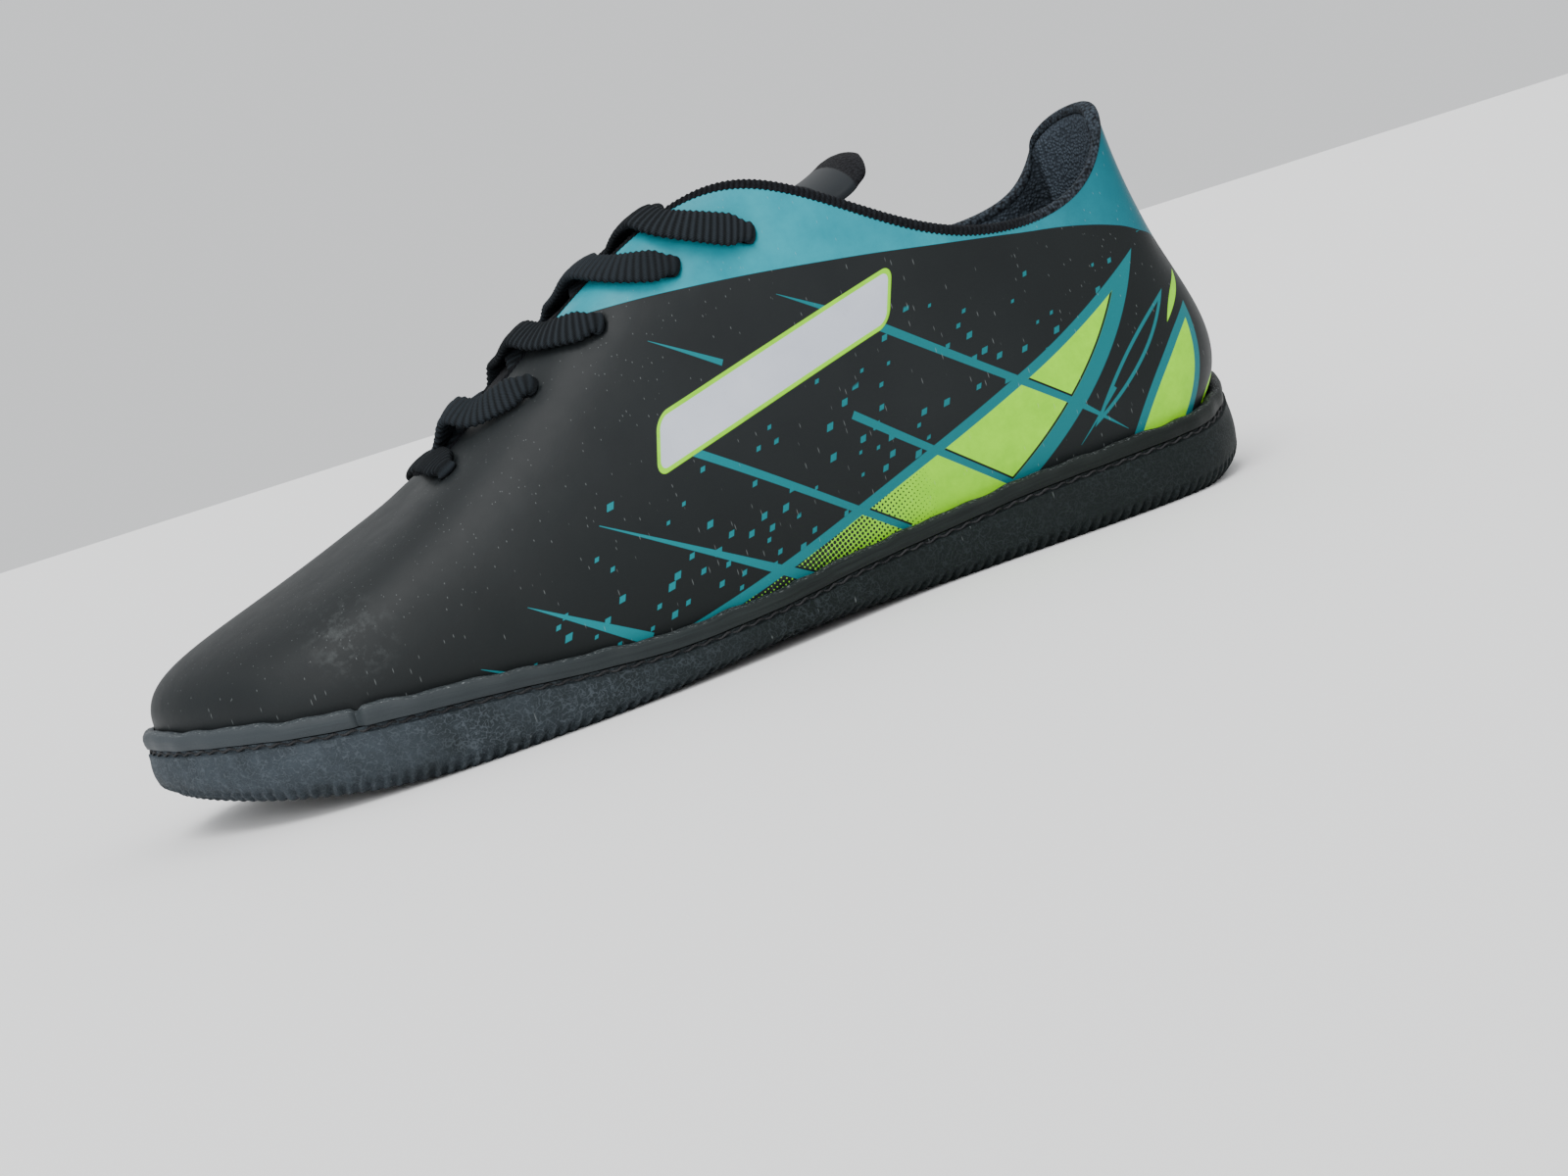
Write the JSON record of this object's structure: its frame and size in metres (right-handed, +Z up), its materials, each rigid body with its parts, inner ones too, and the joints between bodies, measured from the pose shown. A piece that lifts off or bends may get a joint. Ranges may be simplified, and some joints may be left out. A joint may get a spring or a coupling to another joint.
{
  "type": "futsal shoe",
  "caption": "Low-cut lace-up indoor football shoe for the left foot: flat rubber cupsole, hollow synthetic upper, padded tongue, insole and crossed flat laces.",
  "frame": {"origin": "middle of the sole's box, on the floor that the shoe stands on", "axes": "-X to the toe, +X to the heel, -Y to the outer side of the foot, +Z up"},
  "size_m": [0.28, 0.0937, 0.1072],
  "materials": {
    "sole_rubber": "charcoal rubber, matt, with a fine crackle",
    "rim_rubber": "dark rubber strip, matt",
    "upper_synthetic": "smooth matt synthetic leather, printed in teal, yellow-green and grey",
    "insole_textile": "black textile over foam",
    "tongue_knit": "black knit over foam",
    "lace_braid": "black braided flat lace"
  },
  "bodies": {
    "root": {"outsole": "sole_rubber", "rim_strip": "rim_rubber", "upper": "upper_synthetic", "insole": "insole_textile", "tongue": "tongue_knit", "lace_bar": "lace_braid", "lace_cross_1": "lace_braid", "lace_cross_2": "lace_braid", "lace_cross_3": "lace_braid", "lace_cross_4": "lace_braid"}
  },
  "joints": []
}
